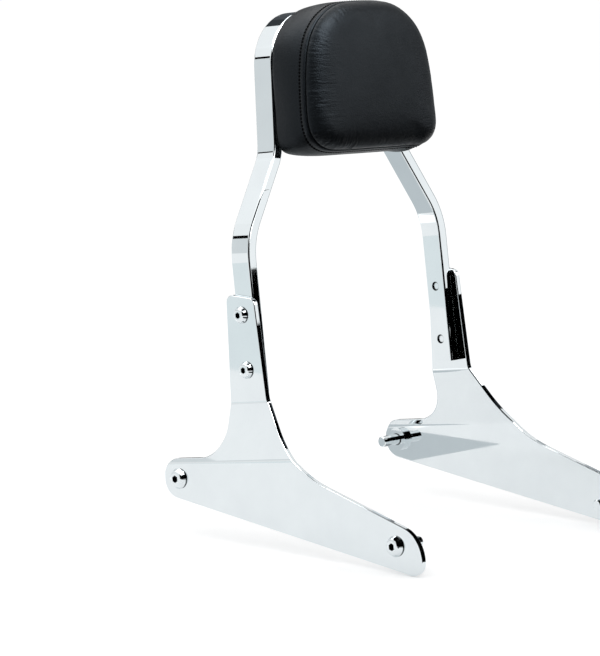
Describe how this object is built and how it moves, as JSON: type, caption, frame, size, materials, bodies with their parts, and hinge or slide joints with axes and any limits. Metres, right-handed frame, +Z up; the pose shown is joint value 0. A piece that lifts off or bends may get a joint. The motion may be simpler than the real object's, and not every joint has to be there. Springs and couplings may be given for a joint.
{
  "type": "motorcycle backrest",
  "caption": "Passenger backrest: chromed flat-bar upright on joggled side plates that screw to the fender struts, with a sewn padded back pad",
  "frame": {"origin": "middle of the overall box on its floor, between the side plates", "axes": "+Z up, -Y towards the front of the motorcycle, X across; the part is the same on both sides of X = 0"},
  "size_m": [0.2844, 0.2814, 0.4324],
  "materials": {
    "chrome": "bright chrome plate on steel",
    "cover": "black grained leather look, stitched",
    "foam": "moulded foam",
    "pan": "moulded, fine matt grain",
    "zinc": "zinc plated"
  },
  "bodies": {
    "root": {"upright": "chrome", "pad_strap_upper": "chrome", "pad_strap_lower": "chrome", "side_plate_right": "chrome", "side_plate_left": "chrome", "upright_screws_right": "chrome", "upright_screws_left": "chrome", "front_strut_screw_right": "chrome", "front_strut_screw_left": "chrome", "rear_strut_screw_right": "chrome", "rear_strut_screw_left": "chrome", "front_spacer_right": "chrome", "front_spacer_left": "chrome", "rear_spacer_right": "chrome", "rear_spacer_left": "chrome", "cover_front_panel": "cover", "cover_side_band": "cover", "pad_foam": "foam", "pad_base": "pan", "pad_tee_nuts": "zinc", "pad_screws": "zinc", "pad_washers": "zinc"}
  },
  "joints": []
}
